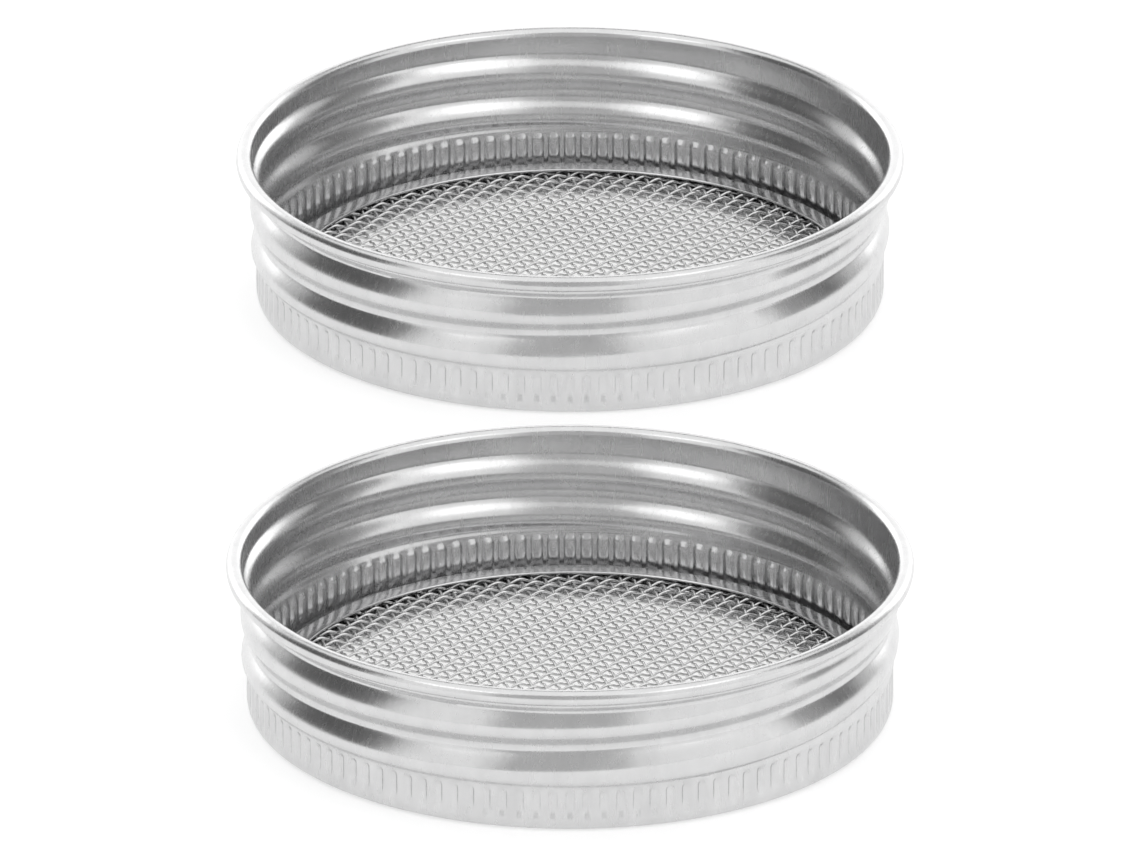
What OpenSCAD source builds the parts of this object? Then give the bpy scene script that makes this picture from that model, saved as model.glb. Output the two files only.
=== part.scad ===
// A pair of matching sieve lids for a canning jar, standing side by side with the open, threaded ends up.
// Each lid is a pressed steel screw band with a loose wire screen lying on its inward flange.
// The frame's origin is on the table, midway between the two lids. Millimetres, +Z up.

/* [Screw band] */
// Outside diameter over the rolled rim
rim_d = 74; // [73:0.5:76]
// Height of the band from the table to the top of the rim
band_h = 17; // [16.6:0.1:18]
// Thickness of the sheet steel
sheet = 0.3; // [0.25:0.01:0.32]
// Diameter of the rolled rim's own cross-section
curl_d = 1.75; // [1.6:0.05:1.8]
// Outside diameter of the grip wall
grip_d = 69.6; // [69.4:0.1:70.2]
// Outside diameter at the shoulder above the grip
shoulder_d = 70.8; // [70.5:0.1:71]
// Radius of the corner between the grip wall and the flange
corner_r = 1.0; // [0.8:0.1:1.2]
// Diameter of the hole in the flange
flange_hole_d = 56; // [54:1:60]

/* [Thread] */
// Clear diameter inside the thread's crests
thread_crest_d = 68.2; // [68:0.1:68.3]
// Distance from one crest to the next
thread_pitch = 5.0; // [4.8:0.05:5.1]
// Height of the lowest crest above the table
thread_z = 8.6; // [8.4:0.05:8.8]
// Length of the straight land on each crest
crest_land = 0.8; // [0.6:0.1:1]

/* [Grip] */
// Number of pockets pressed into the grip wall
pocket_count = 120; // [60:10:130]
// Width of a pocket
pocket_w = 1.05; // [0.8:0.05:1.1]
// Depth of a pocket
pocket_depth = 0.2; // [0.1:0.05:0.2]
// Height of a pocket's lower end above the table
pocket_z = 1.85; // [1.6:0.05:2]
// Height of a pocket
pocket_h = 2.65; // [2:0.05:2.7]

/* [Screen] */
// Outside diameter of the screen's frame
frame_d = 66.8; // [66:0.1:66.8]
// Diameter of the hole in the frame's upper leg
frame_hole_d = 62.4; // [60:0.1:63]
// Diameter of the hole in the frame's lower leg
frame_under_hole_d = 62; // [60:0.1:63]
// Diameter of a screen wire
wire_d = 0.36; // [0.3:0.02:0.44]
// Distance from one wire to the next
wire_pitch = 1.32; // [1.2:0.01:1.6]
// Direction of the weft wires, anticlockwise from +X
weft_angle = 22.7; // [0:0.1:45]
// Direction of the warp wires, anticlockwise from +X
warp_angle = 105.9; // [80:0.1:110]
// How far the loose screen lies off the band's centre
screen_shift = 0.5; // [0:0.1:0.5]
// Direction in which it lies off the centre, anticlockwise from +X
shift_angle = 25; // [0:5:355]

/* [Layout] */
// Distance between the centres of the two lids
spacing = 114; // [80:0.5:150]

/* [Hidden] */
$fn = 96;

front_y = -spacing / 2;
rear_y = spacing / 2;

rim_r = rim_d / 2;
curl_r = curl_d / 2;
grip_r = grip_d / 2;
curl_centre = [rim_r - curl_r, band_h - curl_r];
curl_end_angle = -120;
neck_r = rim_r - curl_d + sheet;
neck_start_z = min(thread_z + 1.5 * thread_pitch - 0.6, band_h - curl_r - 0.2);
groove_r = thread_crest_d / 2 + sheet;
shoulder_z = pocket_z + pocket_h + 1.2;
blend_steps = 8;
corner_steps = 6;
curl_steps = 24;

// The wall's outside, as [height, radius] stations that are joined by smooth curves
wall_stations = [
    [corner_r, grip_r],
    [pocket_z + pocket_h + 0.1, grip_r],
    [shoulder_z, shoulder_d / 2],
    [thread_z - crest_land / 2, groove_r],
    [thread_z + crest_land / 2, groove_r],
    [thread_z + thread_pitch / 2, neck_r],
    [thread_z + thread_pitch - crest_land / 2, groove_r],
    [thread_z + thread_pitch + crest_land / 2, groove_r],
    [neck_start_z, neck_r],
    [curl_centre.y, neck_r]
];

screen_at = screen_shift * [cos(shift_angle), sin(shift_angle)];
screen_gap = 0.02;
wire_gap = 0.04;
frame_z = sheet + screen_gap;
frame_r = frame_d / 2;
frame_h = 2 * sheet + 2 * wire_d + 3 * wire_gap;
fold_r = 0.4;
fold_steps = 6;
weft_z = frame_z + sheet + wire_gap + wire_d / 2;
warp_z = weft_z + wire_d + wire_gap;
cloth_r = frame_r - sheet - 0.12;
wires_each_side = floor((cloth_r - 1.2) / wire_pitch);

// Points on an arc about c, from angle a0 to a1
function arc(c, r, a0, a1, steps) =
    [for (i = [0:steps]) c + r * [cos(a0 + (a1 - a0) * i / steps), sin(a0 + (a1 - a0) * i / steps)]];

// Points along one side of the wall, drawn in by inset from the outside
function wall_side(inset) = [
    for (k = [0:len(wall_stations) - 2])
        let (a = wall_stations[k], b = wall_stations[k + 1], steps = a[1] == b[1] ? 1 : blend_steps)
            for (i = [0:steps - 1])
                let (u = i / steps)
                    [a[1] + (b[1] - a[1]) * (1 - cos(180 * u)) / 2 - inset, a[0] + (b[0] - a[0]) * u]
];

function reversed(points) = [for (i = [len(points) - 1:-1:0]) points[i]];

// The band's section: flange, corner, grip wall, shoulder, two thread grooves, neck and rolled rim
module band_section() {
    corner_centre = [grip_r - corner_r, corner_r];
    outside = concat(
        [[flange_hole_d / 2, 0]],
        arc(corner_centre, corner_r, -90, 0, corner_steps),
        wall_side(0),
        arc(curl_centre, curl_r - sheet, 180, curl_end_angle, curl_steps)
    );
    inside = concat(
        arc(curl_centre, curl_r, curl_end_angle, 180, curl_steps),
        reversed(wall_side(sheet)),
        arc(corner_centre, corner_r - sheet, 0, -90, corner_steps),
        [[flange_hole_d / 2, sheet]]
    );
    polygon(concat(outside, inside));
}

// A ring of equal upright bars, from radius inner to radius outer
module bar_ring(inner, outer, width, z, height) {
    translate([0, 0, z])
        linear_extrude(height)
            for (i = [0:pocket_count - 1])
                rotate(i * 360 / pocket_count)
                    translate([inner, -width / 2])
                        square([outer - inner, width]);
}

module screw_band() {
    wall_in_r = grip_r - sheet;
    color("silver")
        difference() {
            union() {
                rotate_extrude()
                    band_section();
                bar_ring(
                    wall_in_r - pocket_depth, wall_in_r + sheet / 2, pocket_w + sheet,
                    pocket_z - sheet / 2, pocket_h + sheet
                );
            }
            bar_ring(grip_r - pocket_depth, grip_r + 1, pocket_w, pocket_z, pocket_h);
        }
}

// A channel folded from flat strip, open to the middle, that holds the edge of the wire cloth
module screen_frame() {
    low_centre = [frame_r - fold_r, fold_r];
    high_centre = [frame_r - fold_r, frame_h - fold_r];
    outside = concat(
        [[frame_under_hole_d / 2, 0]],
        arc(low_centre, fold_r, -90, 0, fold_steps),
        arc(high_centre, fold_r, 0, 90, fold_steps),
        [[frame_hole_d / 2, frame_h]]
    );
    inside = concat(
        [[frame_hole_d / 2, frame_h - sheet]],
        arc(high_centre, fold_r - sheet, 90, 0, fold_steps),
        arc(low_centre, fold_r - sheet, 0, -90, fold_steps),
        [[frame_under_hole_d / 2, sheet]]
    );
    color("gainsboro")
        translate([screen_at.x, screen_at.y, frame_z])
            rotate_extrude()
                polygon(concat(outside, inside));
}

// Parallel wires at one level, each cut off where it reaches the edge of the round cloth
module wire_layer(angle, z) {
    translate([screen_at.x, screen_at.y, z])
        rotate(angle)
            for (i = [-wires_each_side:wires_each_side])
                let (offset = i * wire_pitch, reach = sqrt(pow(cloth_r, 2) - pow(abs(offset) + wire_d / 2, 2)))
                    translate([-reach, offset, 0])
                        rotate([0, 90, 0])
                            cylinder(h = 2 * reach, d = wire_d, $fn = 24);
}

module warp_wires() {
    color("whitesmoke")
        wire_layer(warp_angle, warp_z);
}

module weft_wires() {
    color("lightgray")
        wire_layer(weft_angle, weft_z);
}

translate([0, front_y, 0]) screw_band();  // front_screw_band
translate([0, front_y, 0]) screen_frame();  // front_screen_frame
translate([0, front_y, 0]) warp_wires();  // front_warp_wires
translate([0, front_y, 0]) weft_wires();  // front_weft_wires
translate([0, rear_y, 0]) screw_band();  // rear_screw_band
translate([0, rear_y, 0]) screen_frame();  // rear_screen_frame
translate([0, rear_y, 0]) warp_wires();  // rear_warp_wires
translate([0, rear_y, 0]) weft_wires();  // rear_weft_wires
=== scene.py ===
import math
import bmesh
import bpy
from mathutils import Matrix, Vector


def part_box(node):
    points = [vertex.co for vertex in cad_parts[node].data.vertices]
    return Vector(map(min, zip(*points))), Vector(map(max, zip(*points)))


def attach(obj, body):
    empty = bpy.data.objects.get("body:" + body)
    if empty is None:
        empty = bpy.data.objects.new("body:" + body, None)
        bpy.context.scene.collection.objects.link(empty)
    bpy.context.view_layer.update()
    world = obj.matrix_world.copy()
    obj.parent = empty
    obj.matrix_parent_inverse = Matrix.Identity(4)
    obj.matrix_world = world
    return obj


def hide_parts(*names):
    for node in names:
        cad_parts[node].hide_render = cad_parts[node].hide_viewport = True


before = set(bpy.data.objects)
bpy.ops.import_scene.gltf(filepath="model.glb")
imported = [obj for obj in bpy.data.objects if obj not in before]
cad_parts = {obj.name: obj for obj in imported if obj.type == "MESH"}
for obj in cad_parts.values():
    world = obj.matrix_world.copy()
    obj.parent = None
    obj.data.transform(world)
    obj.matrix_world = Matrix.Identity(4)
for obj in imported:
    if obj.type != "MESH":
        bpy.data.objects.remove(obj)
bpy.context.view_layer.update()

# Camera.
# A long lens from far off, so that the two lids show at nearly the same size, one behind the other.
CAMERA_ELEVATION = math.radians(23.0)
CAMERA_DISTANCE = 3.5
CAMERA_LENS = 1012.0
CAMERA_SENSOR = 36
CAMERA_CLIP = (0.1, 20)
CAMERA_AIM = Vector((0.0, 0.0, 0.0079))

to_camera = Vector((0, -math.cos(CAMERA_ELEVATION), math.sin(CAMERA_ELEVATION)))
camera_data = bpy.data.cameras.new("camera")
camera_data.lens = CAMERA_LENS
camera_data.sensor_width = CAMERA_SENSOR
camera_data.clip_start = CAMERA_CLIP[0]
camera_data.clip_end = CAMERA_CLIP[1]
camera = bpy.data.objects.new("camera", camera_data)
camera.location = CAMERA_AIM + to_camera * CAMERA_DISTANCE
camera.rotation_mode = "QUATERNION"
camera.rotation_quaternion = to_camera.to_track_quat("Z", "Y")
bpy.context.scene.collection.objects.link(camera)
bpy.context.scene.camera = camera

# Screw bands.
# Each lid's band is one pressing of thin stainless sheet: an inward flange, a grip wall with a row of
# pressed pockets, one and a half turns of right-hand thread rolled inward, and a mouth curled outward.
MM = 0.001
SHEET = 0.3
RIM_R = 37.0
BAND_H = 17.0
CURL_R = 0.875
GRIP_R = 34.8
SHOULDER_R = 35.4
NECK_R = RIM_R - 2 * CURL_R + SHEET
CORNER_R = 1.0
FLANGE_HOLE_R = 28.0
SHOULDER_Z = (4.8, 6.0)
THREAD_TOP_Z = 14.9
BAND_STEPS = 360

POCKETS = 120
POCKET_Z = (1.1, 5.0)
POCKET_SHARE = 0.72
POCKET_SIDE = 0.21
POCKET_DEPTH = 0.27
POCKET_TOP = 0.85
POCKET_ARCH = 0.35
POCKET_RAMP = 1.4
POCKET_CUTS = 3

THREAD_PITCH = 5.0
THREAD_DEPTH = 1.0
THREAD_BELOW = 2.1
THREAD_FLAT = 0.4
THREAD_FRONT_Z = 9.15
THREAD_FLOOR_R = 34.4
THREAD_FLOOR_Z = (5.0, 7.5)
THREAD_FIRST_ANGLE = math.radians(-440)
THREAD_LAST_ANGLE = math.radians(395)
THREAD_FADE = math.radians(70)
THREAD_TOP_FADE = 1.3
THREAD_LOWER_SHAPE = 1.5

CORNER_STEPS = 6
CURL_STEPS = 16
CURL_END_ANGLE = -120
FLANGE_LIP = 0.5
POCKET_ROWS = 6
POCKET_TOP_ROWS = 7
POCKET_TOP_START = 0.8
SHOULDER_ROWS = 6
THREAD_ROWS = 38
LOWER_WALL_Z = 10
ROW_MARGIN = 0.01
LEVEL_GAP = 1e-6
WELD_GAP = 1e-5


def arc(centre, radius, first, last, steps):
    """Points as (radius, height) along an arc. The angles are in degrees."""
    angles = [math.radians(first + (last - first) * i / steps) for i in range(steps + 1)]
    return [(centre[0] + radius * math.cos(a), centre[1] + radius * math.sin(a)) for a in angles]


def smooth_step(x):
    x = min(max(x, 0.0), 1.0)
    return x * x * (3 - 2 * x)


def evenly(first, last, steps):
    return [first + (last - first) * i / steps for i in range(steps + 1)]


def wall_radius(z):
    """Outside radius of the plain wall, before the pockets and the thread are pressed in."""
    shoulder = smooth_step((z - SHOULDER_Z[0]) / (SHOULDER_Z[1] - SHOULDER_Z[0]))
    neck = smooth_step((z - SHOULDER_Z[1]) / (BAND_H - CURL_R - SHOULDER_Z[1]))
    return GRIP_R + (SHOULDER_R - GRIP_R) * shoulder + (NECK_R - SHOULDER_R) * neck


def band_outline():
    """The sheet's outside from the flange's hole to the end of the curl, as (radius, height)."""
    flange = [(FLANGE_HOLE_R, 0.0), (FLANGE_HOLE_R + FLANGE_LIP, 0.0)]
    flange.append((GRIP_R - CORNER_R - FLANGE_LIP, 0.0))
    corner = arc((GRIP_R - CORNER_R, CORNER_R), CORNER_R, -90, 0, CORNER_STEPS)
    heights = evenly(POCKET_Z[0], POCKET_Z[1] - POCKET_TOP - POCKET_ARCH, POCKET_ROWS)
    heights += evenly(POCKET_Z[1] - POCKET_TOP_START * POCKET_TOP - POCKET_ARCH, POCKET_Z[1], POCKET_TOP_ROWS)
    heights += evenly(POCKET_Z[1] + 0.12, SHOULDER_Z[1], SHOULDER_ROWS)
    heights += evenly(SHOULDER_Z[1] + 0.25, THREAD_TOP_Z, THREAD_ROWS)
    wall = [(wall_radius(z), z) for z in heights]
    curl_centre = (RIM_R - CURL_R, BAND_H - CURL_R)
    curl = arc(curl_centre, CURL_R - SHEET, 180, CURL_END_ANGLE, CURL_STEPS)
    return flange + corner + wall + curl


def pocket_press(angle, z):
    """How far a pocket is pressed in at this place, in mm: deepest near its top, and run out downwards."""
    across = (angle * POCKETS / (2 * math.pi) + 0.5) % 1.0 - 0.5
    side = smooth_step((POCKET_SHARE / 2 - abs(across)) / POCKET_SIDE)
    top = smooth_step((POCKET_Z[1] - POCKET_ARCH * (2 * across) ** 2 - z) / POCKET_TOP)
    ramp = min((z - POCKET_Z[0]) / POCKET_RAMP, 1.0)
    return POCKET_DEPTH * side * top * ramp


def thread_press(angle, z):
    """How far the thread is pressed in at this place, in mm. The groove climbs anticlockwise."""
    front = -math.pi / 2
    above = THREAD_PITCH / 2
    press = 0.0
    for turn in (-2, -1, 0, 1):
        a = angle + 2 * math.pi * turn
        s = z - THREAD_FRONT_Z - THREAD_PITCH * (a - front) / (2 * math.pi)
        ends = smooth_step((a - THREAD_FIRST_ANGLE) / THREAD_FADE)
        ends *= smooth_step((THREAD_LAST_ANGLE - a) / THREAD_FADE)
        if -THREAD_BELOW < s <= 0:
            shape = (1 + s / THREAD_BELOW) ** THREAD_LOWER_SHAPE
        elif 0 < s <= THREAD_FLAT:
            shape = 1.0
        elif THREAD_FLAT < s < above:
            shape = (1 + math.cos(math.pi * (s - THREAD_FLAT) / (above - THREAD_FLAT))) / 2
        else:
            shape = 0.0
        press = max(press, THREAD_DEPTH * ends * shape)
    return press * smooth_step((THREAD_TOP_Z - z) / THREAD_TOP_FADE)


def threaded_radius(angle, z):
    """The thread never presses the wall in past THREAD_FLOOR_R, nor past the grip wall at its bottom."""
    floor = smooth_step((z - THREAD_FLOOR_Z[0]) / (THREAD_FLOOR_Z[1] - THREAD_FLOOR_Z[0]))
    least = GRIP_R - (GRIP_R - THREAD_FLOOR_R) * floor
    return max(wall_radius(z) - thread_press(angle, z), min(least, wall_radius(z)))


def spin_outline(bm, points, steps, closed):
    """Turns a chain of (radius, height) points once round the Z axis."""
    verts = [bm.verts.new((r, 0.0, z)) for r, z in points]
    pairs = list(zip(verts, verts[1:])) + ([(verts[-1], verts[0])] if closed else [])
    edges = [bm.edges.new(pair) for pair in pairs]
    bmesh.ops.spin(
        bm, geom=verts + edges, cent=(0, 0, 0), axis=(0, 0, 1), dvec=(0, 0, 0),
        angle=2 * math.pi, steps=steps, use_merge=True, use_duplicate=False,
    )
    bmesh.ops.remove_doubles(bm, verts=bm.verts[:], dist=WELD_GAP)
    bmesh.ops.recalc_face_normals(bm, faces=bm.faces[:])


def finish_piece(bm, name, centre, material, sharp_angle):
    """Moves a mesh made in mm about the Z axis to its place, in metres, and links it."""
    bmesh.ops.scale(bm, vec=(MM, MM, MM), verts=bm.verts[:])
    bmesh.ops.translate(bm, vec=centre, verts=bm.verts[:])
    for face in bm.faces:
        face.smooth = True
    mesh = bpy.data.meshes.new(name)
    bm.to_mesh(mesh)
    bm.free()
    mesh.set_sharp_from_angle(angle=sharp_angle)
    mesh.materials.append(material)
    piece = bpy.data.objects.new(name, mesh)
    bpy.context.scene.collection.objects.link(piece)
    return piece


def band_mesh():
    bm = bmesh.new()
    spin_outline(bm, band_outline(), BAND_STEPS, closed=False)
    low, high = POCKET_Z[0] - ROW_MARGIN, POCKET_Z[1] + ROW_MARGIN
    rounds = [
        e for e in bm.edges
        if abs(e.verts[0].co.z - e.verts[1].co.z) < LEVEL_GAP and low < e.verts[0].co.z < high
        and e.verts[0].co.xy.length > GRIP_R - CORNER_R
    ]
    bmesh.ops.subdivide_edges(bm, edges=rounds, cuts=POCKET_CUTS, use_grid_fill=True)
    for v in bm.verts:
        x, y, z = v.co
        flat_r = math.hypot(x, y)
        angle = math.atan2(y, x)
        if flat_r < GRIP_R - CORNER_R or not low < z < THREAD_TOP_Z + ROW_MARGIN:
            continue
        radius = wall_radius(z) - pocket_press(angle, z) if z < high else threaded_radius(angle, z)
        v.co.x, v.co.y = radius * math.cos(angle), radius * math.sin(angle)
    bmesh.ops.recalc_face_normals(bm, faces=bm.faces[:])
    bm.normal_update()
    low_faces = [f for f in bm.faces if f.calc_center_median().z < LOWER_WALL_Z]
    wall = max(low_faces, key=lambda f: f.calc_center_median().xy.length)
    if wall.normal.xy.dot(wall.calc_center_median().xy) < 0:
        bmesh.ops.reverse_faces(bm, faces=bm.faces[:])
    bmesh.ops.solidify(bm, geom=bm.faces[:], thickness=SHEET)
    return bm


NOISE_LOW = 0.3
NOISE_HIGH = 0.7


def nodes_of(material):
    material.use_nodes = True
    tree = material.node_tree
    return tree, tree.nodes["Principled BSDF"]


def make_node(tree, kind, **values):
    node = tree.nodes.new(kind)
    for key, value in values.items():
        node.inputs[key].default_value = value
    return node


def stretched_noise(tree, scale, detail):
    """Noise on Object coordinates, with its own scale for each axis, in turns per metre."""
    place = make_node(tree, "ShaderNodeTexCoord")
    mapping = make_node(tree, "ShaderNodeMapping", Scale=scale)
    noise = make_node(tree, "ShaderNodeTexNoise", Scale=1.0, Detail=detail, Roughness=0.5)
    tree.links.new(place.outputs["Object"], mapping.inputs["Vector"])
    tree.links.new(mapping.outputs["Vector"], noise.inputs["Vector"])
    return noise.outputs["Fac"]


def spread(tree, value, low, high):
    """A number that runs from low to high over the middle of a noise's range."""
    node = make_node(tree, "ShaderNodeMapRange")
    node.inputs["From Min"].default_value = NOISE_LOW
    node.inputs["From Max"].default_value = NOISE_HIGH
    node.inputs["To Min"].default_value = low
    node.inputs["To Max"].default_value = high
    tree.links.new(value, node.inputs["Value"])
    return node.outputs["Result"]


def tint(tree, value, dark, light):
    """A grey that runs from dark to light over the middle of a noise's range."""
    ramp = make_node(tree, "ShaderNodeValToRGB")
    ramp.color_ramp.elements[0].position = NOISE_LOW
    ramp.color_ramp.elements[0].color = (*dark, 1)
    ramp.color_ramp.elements[1].position = NOISE_HIGH
    ramp.color_ramp.elements[1].color = (*light, 1)
    tree.links.new(value, ramp.inputs["Fac"])
    return ramp.outputs["Color"]


def bump(tree, height, distance, under=None):
    node = make_node(tree, "ShaderNodeBump", Strength=1.0, Distance=distance)
    tree.links.new(height, node.inputs["Height"])
    if under is not None:
        tree.links.new(under, node.inputs["Normal"])
    return node.outputs["Normal"]


def pressed_steel():
    """Satin stainless sheet with fine drawing lines that run up the wall, faint mottling and pits."""
    material = bpy.data.materials.new("pressed_steel")
    tree, shader = nodes_of(material)
    shader.inputs["Metallic"].default_value = 1.0
    lines = stretched_noise(tree, (2600, 2600, 300), 2)
    broad = stretched_noise(tree, (420, 420, 300), 3)
    pits = stretched_noise(tree, (5000, 5000, 5000), 2)
    tree.links.new(tint(tree, broad, (0.61, 0.61, 0.613), (0.66, 0.66, 0.662)), shader.inputs["Base Color"])
    tree.links.new(spread(tree, lines, 0.24, 0.28), shader.inputs["Roughness"])
    normal = bump(tree, lines, 0.0000004)
    normal = bump(tree, pits, 0.0000009, under=normal)
    normal = bump(tree, broad, 0.00002, under=normal)
    tree.links.new(normal, shader.inputs["Normal"])
    return material


pressed = pressed_steel()
for lid in ("front", "rear"):
    low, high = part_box(f"{lid}_screw_band")
    centre = ((low.x + high.x) / 2, (low.y + high.y) / 2, 0.0)
    band = finish_piece(band_mesh(), f"{lid}_band_shell", centre, pressed, math.radians(50))
    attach(band, f"{lid}_lid")
    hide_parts(f"{lid}_screw_band")

# Screen frames.
# A flat stainless strip folded into a channel and rolled into a ring. It is closed over the edge of the
# wire cloth, and its upper leg is polished by the fold. The ring lies loose on the band's flange.
FRAME_R = 33.4
FRAME_HOLE_R = 31.2
FRAME_UNDER_HOLE_R = 31.0
FRAME_Z = 0.32
FRAME_H = 1.44
FOLD_R = 0.4
FRAME_STEPS = 240


def frame_outline():
    """The folded strip's section, as (radius, height), all the way round it."""
    low_fold = (FRAME_R - FOLD_R, FRAME_Z + FOLD_R)
    high_fold = (FRAME_R - FOLD_R, FRAME_Z + FRAME_H - FOLD_R)
    edge = SHEET / 2
    under_edge = arc((FRAME_UNDER_HOLE_R + edge, FRAME_Z + edge), edge, 90, 270, 6)
    upper_edge = arc((FRAME_HOLE_R + edge, FRAME_Z + FRAME_H - edge), edge, 90, 270, 8)
    outside = arc(low_fold, FOLD_R, -90, 0, 6) + arc(high_fold, FOLD_R, 0, 90, 6)
    inside = arc(high_fold, FOLD_R - SHEET, 90, 0, 3) + arc(low_fold, FOLD_R - SHEET, 0, -90, 3)
    return under_edge + outside + upper_edge + inside


def folded_steel():
    material = bpy.data.materials.new("folded_steel")
    tree, shader = nodes_of(material)
    shader.inputs["Metallic"].default_value = 1.0
    grain = stretched_noise(tree, (1800, 1800, 1800), 3)
    broad = stretched_noise(tree, (500, 500, 500), 2)
    tree.links.new(tint(tree, grain, (0.6, 0.6, 0.605), (0.68, 0.68, 0.682)), shader.inputs["Base Color"])
    tree.links.new(spread(tree, grain, 0.14, 0.26), shader.inputs["Roughness"])
    normal = bump(tree, grain, 0.000006)
    normal = bump(tree, broad, 0.00003, under=normal)
    tree.links.new(normal, shader.inputs["Normal"])
    return material


folded = folded_steel()
screen_centres = {}
for lid in ("front", "rear"):
    low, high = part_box(f"{lid}_screen_frame")
    screen_centres[lid] = ((low.x + high.x) / 2, (low.y + high.y) / 2, 0.0)
    ring_bm = bmesh.new()
    spin_outline(ring_bm, frame_outline(), FRAME_STEPS, closed=True)
    ring = finish_piece(ring_bm, f"{lid}_frame_ring", screen_centres[lid], folded, math.radians(60))
    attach(ring, f"{lid}_screen")
    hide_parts(f"{lid}_screen_frame")

# Wire cloth.
# Plain weave of bright drawn stainless wire: each warp wire passes over one weft wire and under the next.
# The cloth is cut round, and its edge is held in the frame's channel.
WIRE_R = 0.17
WIRE_PITCH = 1.32
WEFT_ANGLE = math.radians(22.7)
WARP_ANGLE = math.radians(105.9)
CLOTH_R = 32.9
CLOTH_Z = 1.04
WAVE = 0.185
WIRE_SIDES = 8
STEPS_PER_CROSSING = 4
CLOTH_EDGE = 1.2
SLOPE_STEP = 0.01


def wave_height(along, index, lean, turn, wave):
    """Height of a wire's middle above the cloth's, where the crossings along it are one pitch apart."""
    crossing = (along * math.sin(turn) + index * WIRE_PITCH * lean) / WIRE_PITCH
    return wave * math.cos(math.pi * (crossing + index))


def wires_mesh(angle, other_angle, wave):
    """All of one direction's wires. wave is the height of its waves, below zero for the weft."""
    cloth = bmesh.new()
    turn = angle - other_angle
    count = int((CLOTH_R - CLOTH_EDGE) / WIRE_PITCH)
    lying = Matrix.Rotation(math.pi / 2, 4, "Y")
    wire_copy = bpy.data.meshes.new("wire_copy")
    for index in range(-count, count + 1):
        offset = index * WIRE_PITCH
        reach = math.sqrt(CLOTH_R ** 2 - (abs(offset) + WIRE_R) ** 2)
        steps = max(8, round(2 * reach / WIRE_PITCH * STEPS_PER_CROSSING))
        wire = bmesh.new()
        bmesh.ops.create_cone(
            wire, cap_ends=True, segments=WIRE_SIDES,
            radius1=WIRE_R, radius2=WIRE_R, depth=2 * reach, matrix=lying,
        )
        lengthwise = [e for e in wire.edges if abs(e.verts[0].co.x - e.verts[1].co.x) > reach]
        bmesh.ops.subdivide_edges(wire, edges=lengthwise, cuts=steps - 1)
        for v in wire.verts:
            x, y, z = v.co
            height = wave_height(x, index, math.cos(turn), turn, wave)
            ahead = wave_height(x + SLOPE_STEP, index, math.cos(turn), turn, wave)
            slope = (ahead - height) / SLOPE_STEP
            tilt = 1 / math.sqrt(1 + slope * slope)
            v.co = (x - z * slope * tilt, y + offset, height + z * tilt)
        wire.to_mesh(wire_copy)
        wire.free()
        cloth.from_mesh(wire_copy)
    bpy.data.meshes.remove(wire_copy)
    bmesh.ops.rotate(cloth, cent=(0, 0, 0), matrix=Matrix.Rotation(angle, 3, "Z"), verts=cloth.verts[:])
    bmesh.ops.translate(cloth, vec=(0, 0, CLOTH_Z), verts=cloth.verts[:])
    return cloth


def drawn_wire():
    material = bpy.data.materials.new("drawn_wire")
    tree, shader = nodes_of(material)
    shader.inputs["Metallic"].default_value = 1.0
    grain = stretched_noise(tree, (3500, 3500, 3500), 2)
    tree.links.new(tint(tree, grain, (0.56, 0.56, 0.56), (0.7, 0.7, 0.7)), shader.inputs["Base Color"])
    tree.links.new(spread(tree, grain, 0.13, 0.24), shader.inputs["Roughness"])
    tree.links.new(bump(tree, grain, 0.000004), shader.inputs["Normal"])
    return material


wire_steel = drawn_wire()
for lid in ("front", "rear"):
    for wires, angle, other, wave in (
        ("warp_wires", WARP_ANGLE, WEFT_ANGLE, WAVE),
        ("weft_wires", WEFT_ANGLE, WARP_ANGLE, -WAVE),
    ):
        name = f"{lid}_woven_{wires}"
        cloth_mesh = wires_mesh(angle, other, wave)
        piece = finish_piece(cloth_mesh, name, screen_centres[lid], wire_steel, math.radians(80))
        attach(piece, f"{lid}_screen")
        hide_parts(f"{lid}_{wires}")

# Floor and light.
# A plain white table, lit by a wide soft light overhead, three soft lights in front, two behind, one at
# the right and a tall bright backdrop, with darker air between them that the steel shows as dark bands.
# The table is just under the lids, so that it never shares a height with their undersides.
FLOOR_SIZE = 3.0
FLOOR_Z = -0.0001
FLOOR_GLOW = 0.52
AIR_LIGHT = 0.1


def plain_floor():
    material = bpy.data.materials.new("plain_floor")
    tree, shader = nodes_of(material)
    shader.inputs["Roughness"].default_value = 0.8
    shader.inputs["Specular IOR Level"].default_value = 0.2
    shader.inputs["Emission Color"].default_value = (1, 1, 1, 1)
    shader.inputs["Emission Strength"].default_value = FLOOR_GLOW
    grain = stretched_noise(tree, (60, 60, 60), 2)
    tree.links.new(tint(tree, grain, (0.62, 0.62, 0.62), (0.64, 0.64, 0.64)), shader.inputs["Base Color"])
    return material


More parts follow.
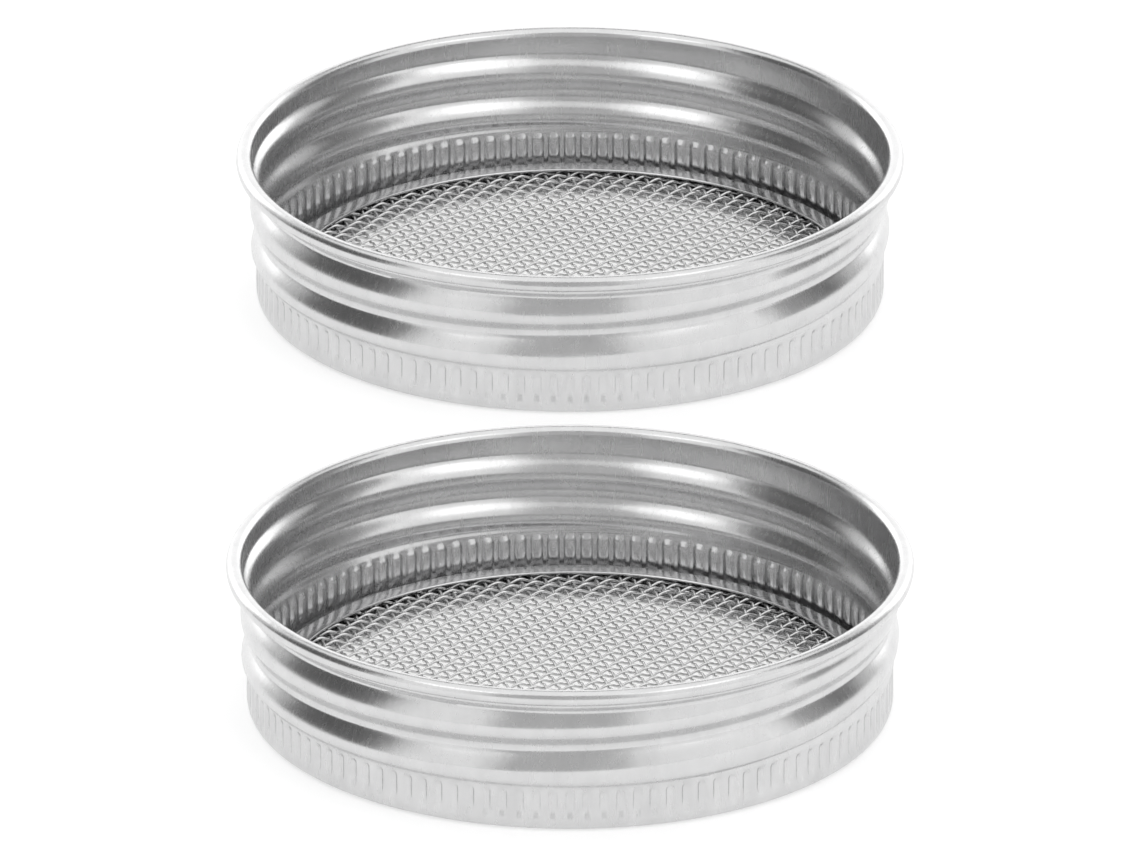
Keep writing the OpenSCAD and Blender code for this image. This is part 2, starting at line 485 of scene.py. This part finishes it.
floor_bm = bmesh.new()
floor_place = Matrix.Translation((0, 0, FLOOR_Z))
bmesh.ops.create_grid(floor_bm, x_segments=1, y_segments=1, size=FLOOR_SIZE, matrix=floor_place)
floor_mesh = bpy.data.meshes.new("floor")
floor_bm.to_mesh(floor_mesh)
floor_bm.free()
floor_mesh.materials.append(plain_floor())
floor = bpy.data.objects.new("floor", floor_mesh)
bpy.context.scene.collection.objects.link(floor)


def soft_light(name, place, width, height, power, aim=(0, 0, 0)):
    data = bpy.data.lights.new(name, "AREA")
    data.shape = "RECTANGLE"
    data.size = width
    data.size_y = height
    data.energy = power
    light = bpy.data.objects.new(name, data)
    light.location = place
    light.rotation_mode = "QUATERNION"
    light.rotation_quaternion = (Vector(place) - Vector(aim)).to_track_quat("Z", "Y")
    light.visible_camera = False
    bpy.context.scene.collection.objects.link(light)


soft_light("overhead", (0, -0.1, 1.4), 2.6, 2.2, 20, aim=(0, -0.1, 0))
soft_light("left_front", (-0.87, -0.9, 0.87), 0.9, 1.7, 4.9, aim=(0, 0, 0.87))
soft_light("right_front", (0.96, -0.81, 0.87), 1.4, 1.7, 7.5, aim=(0, 0, 0.87))
soft_light("middle_front", (0, -1.3, 0.64), 1.0, 1.2, 1.8, aim=(0, 0, 0.64))
soft_light("left_back", (-1.1, 1.1, 0.7), 1.3, 1.3, 3.6, aim=(0, 0, 0.7))
soft_light("right_back", (1.1, 1.1, 0.7), 1.3, 1.3, 3.2, aim=(0, 0, 0.7))
soft_light("right_side", (1.5, -0.2, 0.6), 0.9, 1.1, 0.7, aim=(0, -0.2, 0.6))
soft_light("backdrop", (0, 2.0, 0.9), 5.0, 1.8, 38, aim=(0, 0, 0.9))

world = bpy.data.worlds.new("studio_air")
world.use_nodes = True
world.node_tree.nodes["Background"].inputs["Color"].default_value = (1, 1, 1, 1)
world.node_tree.nodes["Background"].inputs["Strength"].default_value = AIR_LIGHT
bpy.context.scene.world = world
bpy.context.scene.view_settings.view_transform = "Standard"
